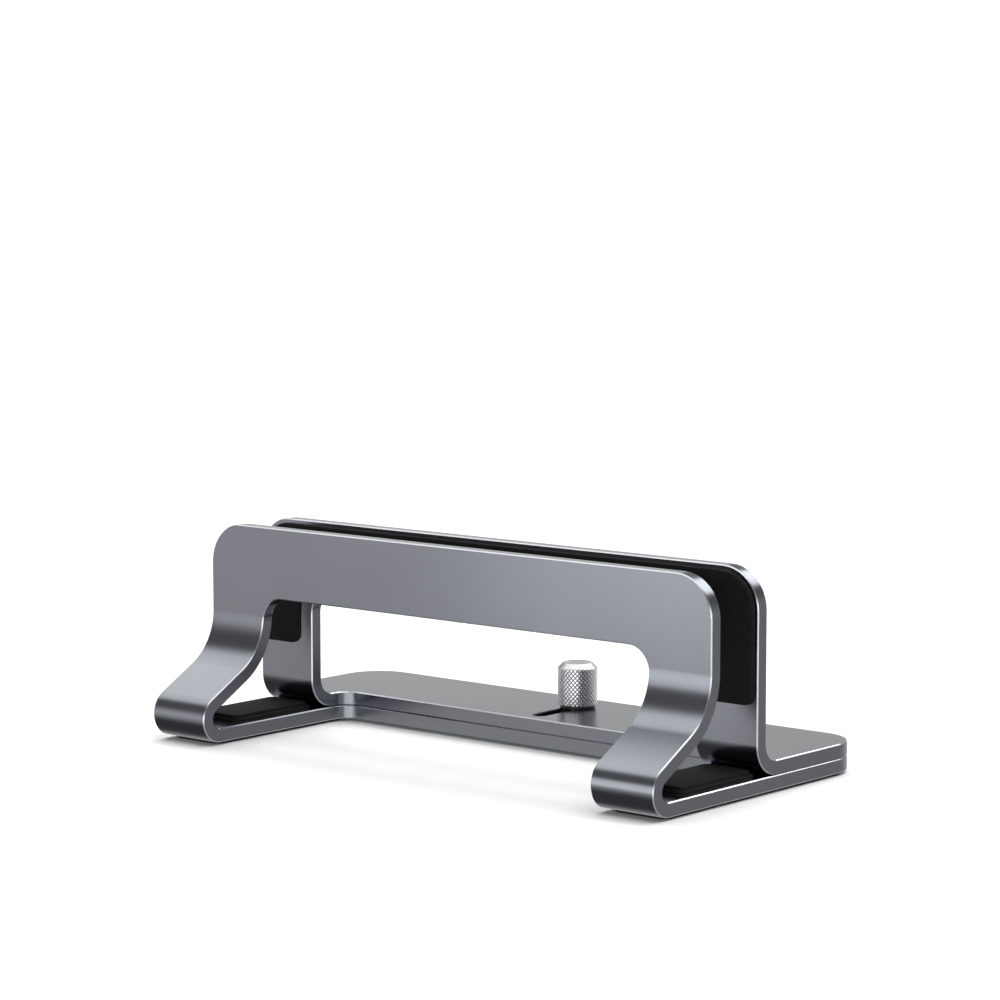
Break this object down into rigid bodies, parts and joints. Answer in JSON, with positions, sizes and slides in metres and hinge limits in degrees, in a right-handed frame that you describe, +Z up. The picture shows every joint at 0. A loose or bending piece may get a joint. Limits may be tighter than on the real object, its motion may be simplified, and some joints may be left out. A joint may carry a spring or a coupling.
{
  "type": "vertical laptop stand",
  "caption": "Adjustable vertical laptop stand: two arched panels bent from aluminium sheet, soft pads, and a sliding rear plate clamped by a knurled thumb nut.",
  "frame": {"origin": "on the ground, under the middle of the stand's bounding box with the slot closed, level with the soles of the foot pads", "axes": "+X along the panels, +Y from the front panel to the rear panel, +Z up"},
  "size_m": [0.18, 0.0944, 0.0606],
  "materials": {
    "anodised_grey": "bead-blasted, space-grey anodised, with bright cut edges",
    "knob_silver": "turned and diamond-knurled, clear anodised",
    "silicone_black": "matte silicone",
    "adhesive_film": "double-sided adhesive film",
    "stud_steel": "zinc-plated steel",
    "washer_nylon": "black nylon"
  },
  "bodies": {
    "base": {"front_bracket": "anodised_grey", "front_panel_pad": "silicone_black", "front_panel_pad_film": "adhesive_film", "rest_pad_left": "silicone_black", "rest_pad_left_film": "adhesive_film", "rest_pad_right": "silicone_black", "rest_pad_right_film": "adhesive_film", "foot_pad_left": "silicone_black", "foot_pad_left_film": "adhesive_film", "foot_pad_right": "silicone_black", "foot_pad_right_film": "adhesive_film", "foot_pad_rear": "silicone_black", "foot_pad_rear_film": "adhesive_film", "clamp_stud": "stud_steel", "guide_pins": "stud_steel"},
    "rear_panel": {"rear_bracket": "anodised_grey", "rear_panel_pad": "silicone_black", "rear_panel_pad_film": "adhesive_film"},
    "washer": {"knob_washer": "washer_nylon"},
    "knob": {"clamp_knob": "knob_silver"}
  },
  "joints": [
    {"name": "width_adjust", "type": "slide", "parent": "base", "child": "rear_panel", "axis": [0, 1, 0], "range_m": [0, 0.0165]},
    {"name": "knob_lift", "type": "slide", "parent": "base", "child": "washer", "axis": [0, 0, 1], "range_m": [0, 0.0014]},
    {"name": "knob_turn", "type": "hinge", "parent": "washer", "child": "knob", "pos_m": [0, 0.03421, 0.00965], "axis": [0, 0, 1], "range_deg": [0, 720]}
  ],
  "couplings": [
    {"joint": "knob_turn", "follows": "knob_lift", "rad_per_m": 8976}
  ]
}
